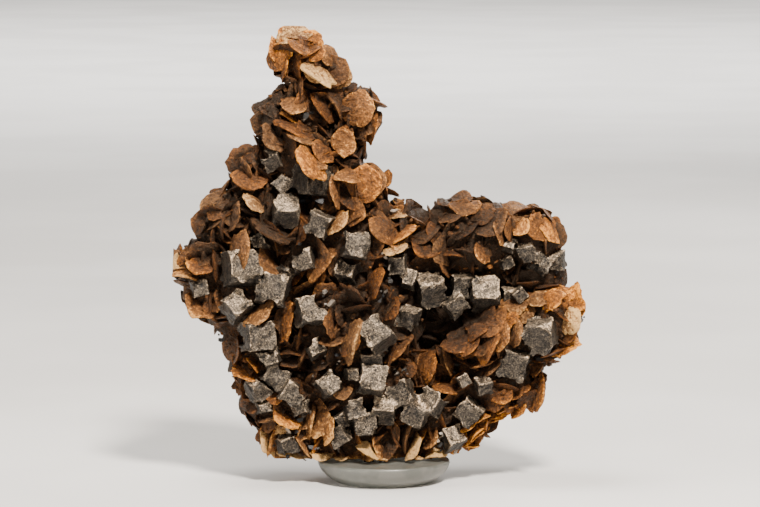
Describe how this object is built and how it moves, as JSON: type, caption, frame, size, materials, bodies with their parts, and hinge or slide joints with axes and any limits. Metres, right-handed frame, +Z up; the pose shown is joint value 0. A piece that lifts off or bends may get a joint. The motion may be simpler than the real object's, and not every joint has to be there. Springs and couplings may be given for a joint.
{
  "type": "galena on siderite mineral specimen",
  "caption": "Brown mass of lens-shaped siderite crystals studded with grey galena cubes with cut corners, standing on a round clear display pad",
  "frame": {"origin": "Centre of the display pad's underside, where the specimen stands.", "axes": "+Z up, +X to the right as the crystals are viewed, -Y out of the crystals' face towards the viewer."},
  "size_m": [0.0826, 0.0341, 0.0914],
  "materials": {
    "siderite": "matte",
    "galena": "satin",
    "display_pad": "satin"
  },
  "bodies": {
    "root": {"display_pad": "display_pad", "galena_bright_block": "galena", "galena_bright_top": "galena", "galena_broken_left": "galena", "galena_broken_right": "galena", "galena_far_left": "galena", "galena_great_left": "galena", "galena_great_right": "galena", "galena_heart_stack": "galena", "galena_hollow_dark": "galena", "galena_hollow_pair": "galena", "galena_ledge_pair": "galena", "galena_left_block": "galena", "galena_left_diamond": "galena", "galena_left_foot": "galena", "galena_left_foot_small": "galena", "galena_left_low": "galena", "galena_left_of_middle": "galena", "galena_left_pair": "galena", "galena_left_stack": "galena", "galena_lobe": "galena", "galena_lobe_shaded": "galena", "galena_lobe_small": "galena", "galena_low_middle": "galena", "galena_low_right": "galena", "galena_low_twins": "galena", "galena_low_wedge": "galena", "galena_middle": "galena", "galena_middle_small": "galena", "galena_neck": "galena", "galena_rear_left": "galena", "galena_rear_middle": "galena", "galena_rear_right": "galena", "galena_rear_upper": "galena", "galena_ridge": "galena", "galena_right_block": "galena", "galena_right_crumb": "galena", "galena_right_foot": "galena", "galena_right_shaded": "galena", "galena_saddle": "galena", "galena_saddle_right": "galena", "galena_shoulder": "galena", "galena_shoulder_small": "galena", "galena_tower": "galena", "galena_upper_middle": "galena", "galena_wedge": "galena", "siderite": "siderite"}
  },
  "joints": []
}
